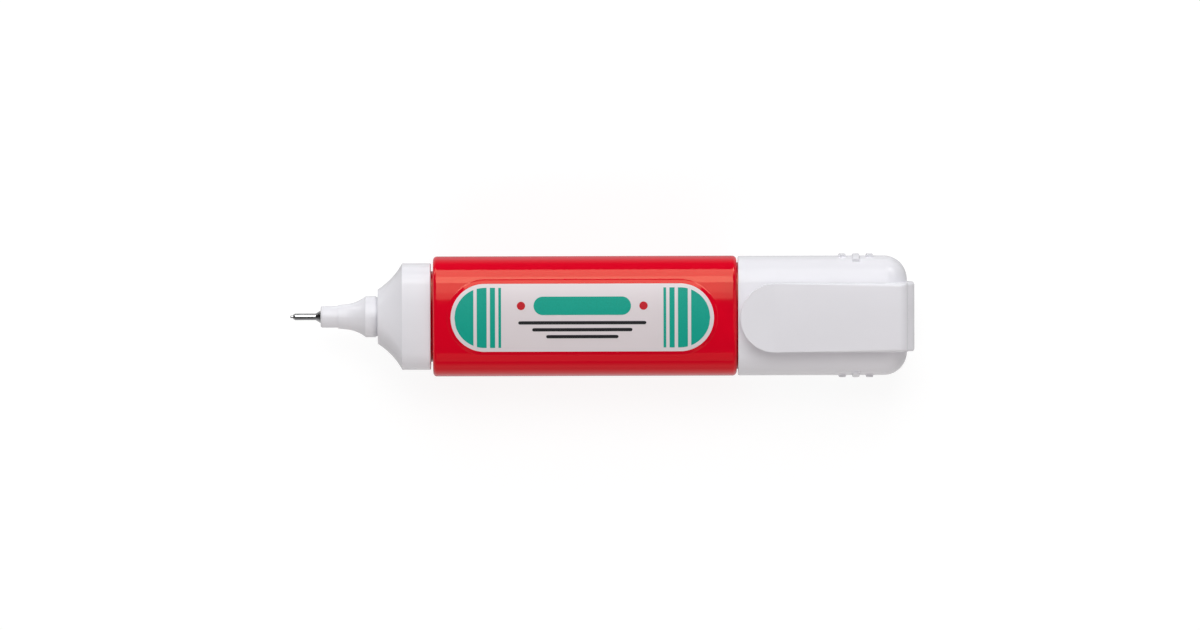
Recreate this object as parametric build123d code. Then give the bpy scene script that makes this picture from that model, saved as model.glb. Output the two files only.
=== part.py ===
from build123d import *
import os
from math import acos, atan2, cos, pi, radians, sin, sqrt, tan

os.makedirs("parts", exist_ok=True)

# A squeeze correction pen that lies on its back with its cap posted on the rear end, in millimetres.
# +X runs from the steel tip to the cap's closed end and +Z points out of the labelled face.
# The origin is on the surface that the pen lies on, under the middle of its length.

# Barrel, an oval squeeze bottle: broad faces, narrow sides and the corners between them
barrel_length = 54.6
barrel_width = 21.6
barrel_depth = 16.0
face_radius = 32.0
side_radius = 14.0
corner_radius = 5.2
barrel_wall = 1.2
front_edge_radius = 0.7
rear_edge_radius = 0.8
spigot_length = 8.5
spigot_edge_radius = 0.8

# Barrel's neck, with a bead that the collar snaps over
neck_inset = 2.65
neck_wall = 1.0
bead_setback = 1.1
bead_length = 0.9
bead_height = 0.25

# Front label, a film on the barrel's broad face
label_setback = 3.2
label_rear_setback = 4.1
label_length = barrel_length - label_setback - label_rear_setback
label_width = 12.35
label_thickness = 0.08

# Back pad, the flat raised panel that the pen lies on, of the label's outline
pad_margin = 0.5
pad_raise = 0.15
pad_depth = 2.0
pad_slope = 15.0
pad_edge_radius = 0.35

# Front collar: a round shoulder that flares out to an oval skirt on the neck
shoulder_diameter = 9.8
flare_length = 4.4
flare_radius = 12.9
skirt_length = 5.15
skirt_edge_radius = 0.2
collar_gap = 0.4
collar_clearance = 0.05
flare_steps = 4

# Nozzle: tip holder, throat, sealing ring, seat in the collar, and a flange clamped on the neck
holder_diameter = 3.9
holder_length = 3.15
holder_edge_radius = 0.35
throat_front_diameter = 4.24
throat_rear_diameter = 4.6
throat_run = 1.6
throat_flare = 3.2
ring_diameter = 7.4
ring_length = 2.05
ring_step = 0.15
groove_length = 0.3
groove_depth = 0.2
seat_diameter = 8.0
flange_thickness = 0.9
chamber_diameter = 3.5
nozzle_clearance = 0.05

# Seal between the nozzle's flange and the rim of the neck
seal_thickness = 0.6

# Steel tip: tube, cone, and a stem pressed in the nozzle
tube_diameter = 1.2
tube_bore = 0.7
tube_length = 4.05
tube_nose_diameter = 0.78
tube_nose_length = 0.35
cone_length = 0.9
stem_diameter = 2.3
stem_bore = 1.5
stem_length = 6.2
valve_seat_setback = 2.0
valve_seat_length = 0.35
press_clearance = 0.02

# Valve needle, which shuts the tip from inside and opens it when it is pressed on the paper
needle_diameter = 0.48
needle_out = 0.55
needle_travel = 0.4
needle_stop_gap = 0.1
shank_diameter = 1.2
valve_gap = 0.05
head_diameter = 2.9
head_length = 0.6
head_gap = 0.1
tail_diameter = 1.5
tail_length = 1.0

# Needle spring and the bored plug that it stands on
wire_diameter = 0.3
spring_diameter = 2.7
spring_turns = 8
spring_end_gap = 0.03
plug_length = 1.8
plug_rim_diameter = 5.0
plug_rim_length = 0.5
plug_boss_diameter = 1.5
plug_bore = 0.9

# Mixing ball, loose in the fluid
ball_diameter = 5.5
ball_clearance = 0.05

# Cap, flush with the barrel, and the grip ribs on its narrow sides
cap_length = 30.4
cap_gap = 0.25
cap_step = 0.05
cap_wall = 1.1
cap_clearance = 0.06
cap_end_wall = 1.4
cap_end_radius = 4.2
cap_inner_radius = 1.9
cap_mouth_radius = 0.2
rib_count = 3
rib_width = 1.3
rib_pitch = 2.45
rib_height = 0.4
rib_setback = 9.2
rib_length = 9.4
rib_length_shares = (0.5, 1.0, 0.5)
rib_edge_radius = 0.25

# Inner cap, a sleeve that seals on the nozzle's ring, and the socket that holds it
sleeve_wall = 1.05
sleeve_clearance = 0.2
sleeve_end_wall = 1.0
sleeve_lead = 0.4
socket_wall = 0.9
socket_length = 4.0

# Clip, and the post at the cap's closed end that it springs from
clip_width = 12.3
clip_thickness = 1.6
clip_gap = 1.1
clip_setback = 0.4
clip_edge_radius = 0.7
clip_bend_radius = 1.2
clip_bead_radius = 0.6
clip_bead_gap = 0.25
clip_bead_length = 6.0
clip_bead_setback = 3.0
post_out = 1.25
post_root = 3.6
post_round = 2.6
post_low_round = 1.0
post_corner_radius = 0.4
post_clearance = 0.25
knuckle_radius = 0.75
knuckle_clearance = 0.05
hinge_setback = 2.4

# Cuts run past the faces that they open by this much
overrun = 1.0

# Stations along the pen's axis, from the needle's end to the cap's closed end
nose_lengths = (needle_out, tube_length, cone_length, holder_length, throat_run, throat_flare,
                ring_length, groove_length, flare_length, skirt_length, collar_gap)
overall_length = sum(nose_lengths) + barrel_length + cap_gap + cap_length + post_out
tip_x = -overall_length / 2
tube_x = tip_x + needle_out
cone_x = tube_x + tube_length
holder_x = cone_x + cone_length
throat_x = holder_x + holder_length
throat_flare_x = throat_x + throat_run
ring_x = throat_flare_x + throat_flare
groove_x = ring_x + ring_length
shoulder_x = groove_x + groove_length
skirt_x = shoulder_x + flare_length
collar_rear_x = skirt_x + skirt_length
barrel_x = collar_rear_x + collar_gap
barrel_rear_x = barrel_x + barrel_length
mouth_x = barrel_rear_x + cap_gap
cap_end_x = mouth_x + cap_length

# Places inside the nose: flange, seal, neck rim, valve seat and spring chamber
flange_rear_x = skirt_x + flange_thickness
neck_x = flange_rear_x + seal_thickness
chamber_x = holder_x + stem_length
valve_seat_x = holder_x + valve_seat_setback
head_x = chamber_x + head_gap
spring_x = head_x + head_length
plug_x = flange_rear_x - plug_length
needle_stop_x = spring_x + tail_length + needle_travel + needle_stop_gap

# Heights above the surface that the pen lies on
axis_height = barrel_depth / 2 + pad_raise
cap_crown = axis_height + barrel_depth / 2 - cap_step
clip_under = cap_crown + clip_gap
post_top = clip_under - post_clearance

# Insets of the cap's bore and of what it slides over, from the barrel's section
cap_bore_inset = cap_step + cap_wall
seat_inset = cap_bore_inset + cap_clearance


def axis_plane(x):
    """Plane square to the pen's axis at x, whose own x is the pen's Y and own y the pen's Z."""
    return Plane(origin=(x, 0, axis_height), x_dir=(0, 1, 0), z_dir=(1, 0, 0))


def oval_arcs():
    """Arcs of the barrel's outer section, each with its centre, radius and end angles."""
    face = Vector(0, barrel_depth / 2 - face_radius)
    side = Vector(barrel_width / 2 - side_radius, 0)
    span = (side - face).length
    face_reach = face_radius - corner_radius
    side_reach = side_radius - corner_radius
    swing = acos((face_reach**2 + span**2 - side_reach**2) / (2 * face_reach * span))
    high = atan2(side.Y - face.Y, side.X - face.X) - swing
    corner = face + Vector(cos(high), sin(high)) * face_reach
    low = atan2(corner.Y, corner.X - side.X)
    mirrored = Vector(-corner.X, corner.Y)
    arcs = []
    for turn in (0, pi):
        sign = cos(turn)
        arcs += [
            (side * sign, side_radius, turn - low, turn + low),
            (corner * sign, corner_radius, turn + low, turn + high),
            (face * sign, face_radius, turn + high, turn + pi - high),
            (mirrored * sign, corner_radius, turn + pi - high, turn + pi - low),
        ]
    return arcs


def oval(x, inset, roundness=0, round_radius=0):
    """The barrel's section at x, drawn in by inset, and part of the way to a circle."""
    edges = []
    for centre, radius, start, end in oval_arcs():
        middle = centre * (1 - roundness)
        reach = (radius - inset) * (1 - roundness) + round_radius * roundness
        angles = (start, (start + end) / 2, end)
        points = [middle + Vector(cos(angle), sin(angle)) * reach for angle in angles]
        edges.append(ThreePointArc(*points))
    return axis_plane(x) * make_face(edges)


def oval_block(x, length, inset):
    """Straight block of the barrel's section, drawn in by inset, from x along the axis."""
    return extrude(oval(x, inset), amount=length, dir=(1, 0, 0))


def rod(x, length, diameter):
    """Round rod on the pen's axis from x."""
    return extrude(axis_plane(x) * Circle(diameter / 2), amount=length, dir=(1, 0, 0))


def turned(*edges):
    """Solid turned about the pen's axis from a closed outline at (x, radius)."""
    profile = Plane.XZ * make_face(edges)
    return Pos(0, 0, axis_height) * revolve(profile, Axis.X)


def end_edges(solid, end):
    """Edges of the face at the low (0) or high (-1) end of the axis."""
    return solid.faces().sort_by(Axis.X)[end].edges()


def barrel():
    """Squeeze bottle: neck, body with its back pad, and the spigot that the cap is posted on."""
    body = oval_block(barrel_x, barrel_length, 0)
    body = fillet(end_edges(body, 0), front_edge_radius)
    body = fillet(end_edges(body, -1), rear_edge_radius)
    spigot = oval_block(barrel_rear_x - barrel_wall, spigot_length + barrel_wall, seat_inset)
    spigot = fillet(end_edges(spigot, -1), spigot_edge_radius)
    neck = oval_block(neck_x, barrel_x + barrel_wall - neck_x, neck_inset)
    bead = oval_block(neck_x + bead_setback, bead_length, neck_inset - bead_height)
    shell = body + back_pad() + spigot + neck + bead
    hollow = oval_block(barrel_x + barrel_wall, barrel_length - 2 * barrel_wall, barrel_wall)
    spigot_hollow = oval_block(barrel_rear_x - 2 * barrel_wall, spigot_length + barrel_wall,
                               seat_inset + barrel_wall)
    neck_bore = oval_block(neck_x - overrun, barrel_x + 2 * barrel_wall - neck_x + overrun,
                           neck_inset + neck_wall)
    return shell - hollow - spigot_hollow - neck_bore


def label_outline(margin):
    """Stadium of the label, grown by margin, in plan."""
    centre = barrel_x + label_setback + label_length / 2
    return Pos(centre, 0) * SlotOverall(label_length + 2 * margin, label_width + 2 * margin)


def back_pad():
    """Flat pad at the back, with steep sides that sink into the barrel."""
    base_margin = pad_margin + pad_depth * tan(radians(pad_slope))
    base = Pos(0, 0, pad_depth) * label_outline(base_margin)
    pad = loft([label_outline(pad_margin), base], ruled=True)
    return fillet(pad.faces().sort_by(Axis.Z)[0].edges(), pad_edge_radius)


def front_label():
    """Film label that follows the barrel's front face, with round ends in plan."""
    skin = oval_block(barrel_x, barrel_length, -label_thickness) - oval_block(barrel_x, barrel_length, 0)
    return skin & extrude(Pos(0, 0, axis_height) * label_outline(0), amount=barrel_depth)


def flare_half_width(x):
    """Half width of the collar's flare at x, on an arc that is hollow to the outside."""
    skirt_half = barrel_width / 2 - seat_inset
    rise = skirt_half - shoulder_diameter / 2
    chord = sqrt(flare_length**2 + rise**2)
    lift = sqrt(flare_radius**2 - (chord / 2)**2)
    centre_x = (shoulder_x + skirt_x) / 2 - lift * rise / chord
    centre_r = (skirt_half + shoulder_diameter / 2) / 2 + lift * flare_length / chord
    return centre_r - sqrt(flare_radius**2 - (x - centre_x)**2)


def front_collar():
    """Collar: round shoulder, hollow flare and oval skirt, bored for the nozzle and the neck."""
    skirt_half = barrel_width / 2 - seat_inset
    rise = skirt_half - shoulder_diameter / 2
    sections = []
    for step in range(flare_steps + 1):
        x = shoulder_x + flare_length * step / flare_steps
        roundness = (skirt_half - flare_half_width(x)) / rise
        sections.append(oval(x, seat_inset, roundness, shoulder_diameter / 2))
    skirt = oval_block(skirt_x, skirt_length, seat_inset)
    skirt = fillet(end_edges(skirt, -1), skirt_edge_radius)
    socket_inset = neck_inset - collar_clearance
    socket = oval_block(skirt_x, skirt_length + overrun, socket_inset)
    bead_room = oval_block(neck_x + bead_setback - collar_clearance, bead_length + 2 * collar_clearance,
                           socket_inset - bead_height)
    bore = rod(shoulder_x - overrun, flare_length + 2 * overrun, seat_diameter + 2 * nozzle_clearance)
    return loft(sections) + skirt - socket - bead_room - bore


def nozzle():
    """Tip holder, throat, sealing ring and seat in one, with an oval flange that shuts the neck."""
    holder_r = holder_diameter / 2
    ring_r = ring_diameter / 2
    seat_r = seat_diameter / 2
    tip_bore_r = stem_diameter / 2 + press_clearance
    throat_start = (throat_x, throat_front_diameter / 2)
    throat_end = (throat_flare_x, throat_rear_diameter / 2)
    ring_start = (ring_x, ring_r - ring_step)
    run = (throat_end[0] - throat_start[0], throat_end[1] - throat_start[1])
    front_line = Polyline((holder_x, tip_bore_r), (holder_x, holder_r - holder_edge_radius))
    front_round = RadiusArc((holder_x, holder_r - holder_edge_radius),
                            (holder_x + holder_edge_radius, holder_r), holder_edge_radius)
    holder_line = Polyline((holder_x + holder_edge_radius, holder_r), (throat_x, holder_r),
                           throat_start, throat_end)
    throat_arc = TangentArc(throat_end, ring_start, tangent=run)
    rear_line = Polyline(
        ring_start, (ring_x + ring_step, ring_r), (groove_x, ring_r), (groove_x, ring_r - groove_depth),
        (shoulder_x, ring_r - groove_depth), (shoulder_x, seat_r), (flange_rear_x, seat_r),
        (flange_rear_x, chamber_diameter / 2), (chamber_x, chamber_diameter / 2),
        (chamber_x, tip_bore_r), (holder_x, tip_bore_r))
    stem = turned(front_line, front_round, holder_line, throat_arc, rear_line)
    flange = oval_block(skirt_x, flange_thickness, neck_inset)
    return stem + (flange - rod(skirt_x - overrun, flange_thickness + 2 * overrun, chamber_diameter))


def neck_seal():
    """Flat oval ring between the nozzle's flange and the rim of the neck."""
    ring = oval_block(flange_rear_x, seal_thickness, neck_inset)
    return ring - oval_block(flange_rear_x - overrun, seal_thickness + 2 * overrun, neck_inset + neck_wall)


def metal_tip():
    """Steel tip: a fine tube, a cone and a stem, with the valve's seat in its bore."""
    tube_r = tube_diameter / 2
    stem_r = stem_diameter / 2
    bore_r = tube_bore / 2
    seat_end = valve_seat_x + valve_seat_length
    outline = Polyline(
        (tube_x, bore_r), (tube_x, tube_nose_diameter / 2), (tube_x + tube_nose_length, tube_r),
        (cone_x, tube_r), (holder_x, stem_r), (chamber_x, stem_r), (chamber_x, stem_bore / 2),
        (seat_end, stem_bore / 2), (valve_seat_x, bore_r), (tube_x, bore_r))
    return turned(outline)


def valve_needle():
    """Needle with a rounded end, a shank that shuts on the seat, and a head for the spring."""
    needle_r = needle_diameter / 2
    shank_r = shank_diameter / 2
    seat_slope = valve_seat_length / (stem_bore / 2 - tube_bore / 2)
    shoulder_start = valve_seat_x + valve_gap
    shoulder_end = shoulder_start + seat_slope * (shank_r - needle_r)
    shoulder_shift = seat_slope * (tube_bore / 2 - needle_r)
    nose = RadiusArc((tip_x, 0), (tip_x + needle_r, needle_r), needle_r)
    body = Polyline(
        (tip_x + needle_r, needle_r), (shoulder_start - shoulder_shift, needle_r),
        (shoulder_end - shoulder_shift, shank_r), (head_x, shank_r), (head_x, head_diameter / 2),
        (spring_x, head_diameter / 2), (spring_x, tail_diameter / 2),
        (spring_x + tail_length, tail_diameter / 2), (spring_x + tail_length, 0), (tip_x, 0))
    return turned(nose, body)


def biarc(start, start_dir, end, end_dir):
    """Two arcs that join start to end and keep to the direction at each."""
    chord = end - start
    lean = start_dir + end_dir
    a = lean.dot(lean) - 4
    b = -2 * chord.dot(lean)
    c = chord.dot(chord)
    reach = (-b - sqrt(b * b - 4 * a * c)) / (2 * a)
    middle = (start + start_dir * reach + end - end_dir * reach) / 2
    first = TangentArc(start, middle, tangent=start_dir)
    second = TangentArc(end, middle, tangent=end_dir * -1)
    return [first, second]


def needle_spring():
    """Coil spring between the needle's head and the plug, on arcs of a quarter turn."""
    coil_r = (spring_diameter - wire_diameter) / 2
    start_x = spring_x + wire_diameter / 2 + spring_end_gap
    rise = plug_x - wire_diameter / 2 - spring_end_gap - start_x
    quarters = 4 * spring_turns

    def point(quarter):
        angle = quarter * pi / 2
        x = start_x + rise * quarter / quarters
        return Vector(x, coil_r * cos(angle), axis_height + coil_r * sin(angle))

    def heading(quarter):
        angle = quarter * pi / 2
        climb = rise / (spring_turns * 2 * pi)
        return Vector(climb, -coil_r * sin(angle), coil_r * cos(angle)).normalized()

    edges = []
    for quarter in range(quarters):
        edges += biarc(point(quarter), heading(quarter), point(quarter + 1), heading(quarter + 1))
    path = Wire(edges)
    section = Plane(origin=point(0), z_dir=heading(0)) * Circle(wire_diameter / 2)
    turn_gaps = [(point(quarter + 4) - point(quarter)).length for quarter in range(quarters - 3)]
    print("spring gap between turns:", round(min(turn_gaps) - wire_diameter, 3))
    return sweep(section, path=path)


def spring_seat():
    """Bored plug behind the spring, with a rim on the flange and a boss that stops the needle."""
    plug_r = chamber_diameter / 2 - press_clearance
    rear_x = flange_rear_x + plug_rim_length
    outline = Polyline(
        (needle_stop_x, plug_bore / 2), (needle_stop_x, plug_boss_diameter / 2),
        (plug_x, plug_boss_diameter / 2), (plug_x, plug_r), (flange_rear_x, plug_r),
        (flange_rear_x, plug_rim_diameter / 2), (rear_x, plug_rim_diameter / 2),
        (rear_x, plug_bore / 2), (needle_stop_x, plug_bore / 2))
    return turned(outline)


def mixing_ball():
    """Steel ball that lies on the barrel's inner wall, half way along."""
    floor = axis_height - barrel_depth / 2 + barrel_wall
    height = floor + ball_diameter / 2 + ball_clearance
    return Pos(barrel_x + barrel_length / 2, 0, height) * Sphere(ball_diameter / 2)


def grip_ribs():
    """Short ribs round both narrow sides of the cap, the middle one longest."""
    ribs = []
    for index in range(rib_count):
        x = cap_end_x - rib_setback + (index - (rib_count - 1) / 2) * rib_pitch
        ring = oval_block(x - rib_width / 2, rib_width, cap_step - rib_height)
        ring = fillet(end_edges(ring, 0) + end_edges(ring, -1), rib_edge_radius)
        height = rib_length * rib_length_shares[index]
        ribs.append(ring & Pos(x, 0, axis_height) * Box(rib_width, barrel_width + 2 * overrun, height))
    return ribs


def clip_post():
    """Block on the cap's closed end that carries the clip, rounded over to the outside."""
    low = axis_height
    front = cap_end_x - post_root
    rear = cap_end_x + post_out
    middle = Pos((front + rear) / 2, 0, (low + post_top) / 2)
    block = middle * Box(rear - front, clip_width, post_top - low)
    block = fillet(end_edges(block, -1).filter_by(Axis.Y).sort_by(Axis.Z)[-1], post_round)
    block = fillet(end_edges(block, -1).filter_by(Axis.Y).sort_by(Axis.Z)[0], post_low_round)
    return fillet(end_edges(block, -1).filter_by(Axis.Z), post_corner_radius)


def hinge_rod(radius, length):
    """Rod on the line that the clip bends about."""
    place = Pos(cap_end_x - hinge_setback, 0, post_top) * Rot(X=90)
    return place * Cylinder(radius, length)


def cap_shell():
    """Oval cap with grip ribs, the clip's post, and a socket for the inner cap."""
    shell = oval_block(mouth_x, cap_length, cap_step)
    shell = fillet(end_edges(shell, -1), cap_end_radius)
    shell = fillet(end_edges(shell, 0), cap_mouth_radius)
    shell = shell + grip_ribs() + clip_post()
    bore = oval_block(mouth_x, cap_length - cap_end_wall, cap_bore_inset)
    bore = fillet(end_edges(bore, -1), cap_inner_radius)
    mouth = oval_block(mouth_x - overrun, 2 * overrun, cap_bore_inset)
    sleeve_diameter = ring_diameter + 2 * sleeve_wall
    bore_end = cap_end_x - cap_end_wall
    socket_diameter = sleeve_diameter + 2 * press_clearance
    socket_x = bore_end - socket_length
    socket = rod(socket_x, socket_length + cap_end_wall / 2, socket_diameter + 2 * socket_wall)
    socket = socket - rod(socket_x - overrun, socket_length + overrun, socket_diameter)
    room = hinge_rod(knuckle_radius + knuckle_clearance, clip_width + 2 * overrun)
    return shell - bore - mouth - room + socket


def inner_cap():
    """Sleeve, shut at its far end, that seals on the nozzle's ring when the nose is capped."""
    bore_r = ring_diameter / 2 + nozzle_clearance
    outer_r = ring_diameter / 2 + sleeve_wall
    front_x = mouth_x + barrel_x - shoulder_x + cap_gap + sleeve_clearance
    end_x = cap_end_x - cap_end_wall
    floor_x = end_x - sleeve_end_wall
    outline = Polyline(
        (front_x, bore_r + sleeve_lead), (front_x, outer_r), (end_x, outer_r), (end_x, 0),
        (floor_x, 0), (floor_x, bore_r), (front_x + sleeve_lead, bore_r), (front_x, bore_r + sleeve_lead))
    return turned(outline)


def cap_clip():
    """Flat clip with a round free end, a bead under it, and a knuckle that sits in the post."""
    free_x = mouth_x + clip_setback
    half = clip_width / 2
    outline = make_face([
        Polyline((free_x + half, half), (cap_end_x, half), (cap_end_x, -half), (free_x + half, -half)),
        ThreePointArc((free_x + half, -half), (free_x, 0), (free_x + half, half)),
    ])
    plate = extrude(Pos(0, 0, clip_under) * outline, amount=clip_thickness)
    bend = plate.faces().sort_by(Axis.Z)[-1].edges().sort_by(Axis.X)[-1]
    plate = fillet(bend, clip_bend_radius)
    rim = plate.faces().sort_by(Axis.Z)[-1].edges().sort_by(Axis.X)[:-1]
    plate = fillet(rim, clip_edge_radius)
    bead_place = Pos(free_x + clip_bead_setback, 0, cap_crown + clip_bead_gap + clip_bead_radius)
    bead = bead_place * Rot(X=90) * Cylinder(clip_bead_radius, clip_bead_length)
    knuckle = hinge_rod(knuckle_radius, clip_width)
    return plate + bead + knuckle


pieces = {
    "barrel": barrel(),
    "front_label": front_label(),
    "front_collar": front_collar(),
    "nozzle": nozzle(),
    "neck_seal": neck_seal(),
    "metal_tip": metal_tip(),
    "valve_needle": valve_needle(),
    "needle_spring": needle_spring(),
    "spring_seat": spring_seat(),
    "mixing_ball": mixing_ball(),
    "cap_shell": cap_shell(),
    "inner_cap": inner_cap(),
    "cap_clip": cap_clip(),
}
for name, piece in pieces.items():
    export_step(piece, f"parts/{name}.step")
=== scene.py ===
import math

import bmesh
import bpy
from bpy.props import FloatProperty, FloatVectorProperty, IntProperty, PointerProperty
from mathutils import Matrix, Vector


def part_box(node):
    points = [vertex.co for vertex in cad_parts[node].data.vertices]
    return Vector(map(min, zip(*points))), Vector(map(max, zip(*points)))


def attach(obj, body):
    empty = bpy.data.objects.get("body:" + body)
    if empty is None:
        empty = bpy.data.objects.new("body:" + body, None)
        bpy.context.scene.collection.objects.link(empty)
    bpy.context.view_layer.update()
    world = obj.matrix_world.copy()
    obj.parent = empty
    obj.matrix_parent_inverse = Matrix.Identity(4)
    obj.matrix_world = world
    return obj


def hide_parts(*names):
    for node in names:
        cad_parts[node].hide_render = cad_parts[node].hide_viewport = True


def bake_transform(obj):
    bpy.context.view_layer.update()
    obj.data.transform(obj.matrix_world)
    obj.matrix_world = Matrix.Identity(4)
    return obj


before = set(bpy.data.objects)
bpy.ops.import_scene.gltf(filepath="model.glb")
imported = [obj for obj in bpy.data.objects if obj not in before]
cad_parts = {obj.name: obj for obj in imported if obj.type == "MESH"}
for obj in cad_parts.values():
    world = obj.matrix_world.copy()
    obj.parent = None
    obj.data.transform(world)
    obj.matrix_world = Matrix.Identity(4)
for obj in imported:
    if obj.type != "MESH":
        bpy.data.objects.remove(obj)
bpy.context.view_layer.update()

bl_info = {
    "name": "Correction Pen",
    "version": (1, 0, 0),
    "blender": (4, 5, 0),
    "location": "View3D > Sidebar > Correction Pen",
    "description": "Finishes the packed correction pen with moulded plastic, printed film and "
                   "turned steel",
    "category": "Object",
}

# Lengths in this file are metres, and those of the part are easier to read in millimetres
MM = 0.001

LABEL_LOW, LABEL_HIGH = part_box("front_label")
CLIP_LOW, CLIP_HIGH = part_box("cap_clip")
SPRING_LOW, SPRING_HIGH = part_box("needle_spring")

# Materials that more than one step uses
RED_PLASTIC = "red barrel plastic"
WHITE_PLASTIC = "white moulded plastic"
TURNED_STEEL = "turned steel"
LABEL_FILM = "label film"

SHADER = "Principled BSDF"
WHITE = (1.0, 1.0, 1.0)

# Range that most of a noise texture's values fall in
NOISE_LOW, NOISE_HIGH = 0.3, 0.7

# How far handling scuffs change the roughness of plastic
SCUFF = 0.03

# Depth of the fine relief on moulded plastic and turned steel
SKIN_DEPTH = 0.004 * MM

# Points nearer to each other than this are one point
NEAR = 1e-6

# Turn that takes X, Y and Z to Y, Z and X
AXIS_TURN = Matrix(((0, 0, 1), (1, 0, 0), (0, 1, 0))).to_euler()

# Angles in degrees from which an edge looks sharp: as a rule, on the label's pad, on the clip
SHARP = 30.0
PAD_SHARP = 8.0
CLIP_SHARP = 40.0

# Cuts on each side of the label's middle that let a flat shape bend, and the share of the label's
# width that they reach
FACE_SLICES = 20
SLICE_REACH = 0.6

# Points along and across a printed band, and steps in a quarter of each round outline
BAND_POINTS = (25, 33)
LABEL_STEPS = 32
PLATE_STEPS = 16
DOT_STEPS = 8
RULE_STEPS = 4

# Steps of the clip's round end, upper edge, lower edge, plate, bend and fillet
CLIP_END_STEPS = 48
CLIP_UPPER_STEPS = 6
CLIP_LOWER_STEPS = 3
CLIP_PLATE_STEPS = 40
CLIP_BEND_STEPS = 16
CLIP_FILLET_STEPS = 8

# Flat sides of the spring's wire
WIRE_SIDES = 12

# Distance and length of the softbox's panels, and of the lamps off the corners
SOFTBOX_REACH = 0.6
SOFTBOX_LENGTH = 0.5
LAMP_REACH = 0.75
LAMP_LENGTH = 0.4

# Half of the width over which the floor's bounce changes from one side to the other
BOUNCE_SHIFT = 15 * MM


# Settings

def length(name, description, millimetres):
    """A length that the sidebar shows, with its default in millimetres."""
    return FloatProperty(name=name, description=description, default=millimetres * MM,
                         unit="LENGTH", precision=5)


def angle(name, description, degrees):
    """An angle that the sidebar shows, with its default in degrees."""
    return FloatProperty(name=name, description=description, default=math.radians(degrees),
                         subtype="ANGLE")


def colour(name, description, red, green, blue):
    """A colour that the sidebar shows, in linear values."""
    return FloatVectorProperty(name=name, description=description, default=(red, green, blue),
                               subtype="COLOR", size=3, min=0.0, max=1.0)


def share(name, description, value):
    """A plain number that the sidebar shows."""
    return FloatProperty(name=name, description=description, default=value, precision=3)


def count(name, description, value, least=1):
    """A whole number that the sidebar shows."""
    return IntProperty(name=name, description=description, default=value, min=least)


class PenFinishes(bpy.types.PropertyGroup):
    """Colours and gloss of the pen's materials."""
    barrel_red: colour("Barrel", "Red of the moulded barrel", 0.75, 0.0018, 0.018)
    barrel_gloss: share("Barrel roughness", "Roughness of the polished barrel", 0.08)
    barrel_glint: colour("Barrel glint", "Tint of the light that the red plastic mirrors",
                         1.0, 0.62, 0.4)
    barrel_shine: share("Barrel shine", "Specular level of the polished barrel", 0.8)
    barrel_haze: share("Barrel haze", "Light scattered by the barrel where it turns away", 0.5)
    barrel_haze_tone: colour("Barrel haze colour", "Colour of that light", 1.0, 0.03, 0.09)
    moulded_white: colour("White parts", "White of the cap, clip, collar and nozzle",
                          0.85, 0.845, 0.89)
    moulded_roughness: share("White roughness", "Roughness of the satin white parts", 0.24)
    moulded_haze: share("White haze", "Light scattered by the white where it turns away", 0.08)
    film_white: colour("Label film", "Ground of the label", 0.785, 0.72, 0.745)
    ink_teal: colour("Teal ink", "Main colour printed on the label", 0.004, 0.36, 0.27)
    ink_black: colour("Black ink", "Dark print on the label", 0.016, 0.016, 0.018)
    ink_red: colour("Red ink", "Small red print on the label", 0.55, 0.01, 0.02)
    steel_grey: colour("Steel", "Colour of the turned steel", 0.62, 0.62, 0.63)
    milky: colour("Undyed plastic", "Colour of the plug and the inner cap", 0.74, 0.735, 0.70)


class PenLabel(bpy.types.PropertyGroup):
    """Pad, film and print of the label, with places measured from the label's middle."""
    face_radius: length("Face radius", "Radius of the barrel's face with the film on it", 32.08)
    pad_height: length("Pad height", "How far the moulded pad under the film stands out", 0.29)
    pad_slope: angle("Pad slope", "Slope of the pad's sides", 21.0)
    pad_foot: length("Pad foot", "Height of the steep foot of the pad's sides", 0.07)
    foot_slope: angle("Foot slope", "Slope of that foot", 36.0)
    pad_sink: length("Pad sink", "How far the pad's sides reach below the barrel's face", 0.12)
    pad_margin: length("Pad margin", "How far the pad's top reaches past the film", 0.05)
    film: length("Film thickness", "Thickness of the label's film", 0.08)
    film_trim: length("Film trim", "How far the film's lower edge lies inside its CAD solid's",
                      0.15)
    ink: length("Ink thickness", "How far the print stands on the film", 0.012)
    border: length("Border", "Bare film round the end bands", 0.7)
    band_count: count("Bands", "Bands at each end of the label", 4)
    band_width: length("First band", "Width of the outermost band", 3.4)
    band_ratio: share("Band ratio", "Width of each band as a share of the one outside it", 0.52)
    band_gap: length("Band gap", "Bare film between two bands", 0.6)
    plate_size: FloatVectorProperty(name="Plate", description="Length and height of the teal plate",
                                    default=(17.5 * MM, 3.3 * MM), size=2, unit="LENGTH")
    plate_rise: length("Plate place", "Height of the teal plate's middle", 2.15)
    dot_size: length("Dots", "Diameter of the two red dots beside the plate", 1.5)
    dot_reach: length("Dot place", "Distance of the dots from the middle", 11.0)
    rule_count: count("Rules", "Thin rules below the plate", 3)
    rule_length: length("Longest rule", "Length of the uppermost rule", 23.0)
    rule_step: length("Rule step", "How much shorter each rule is than the one above", 5.0)
    rule_height: length("Rule height", "Thickness of a rule", 0.6)
    rule_pitch: length("Rule pitch", "Distance between two rules", 1.25)
    rule_start: length("First rule", "How far the uppermost rule lies below the middle", 0.9)


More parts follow.
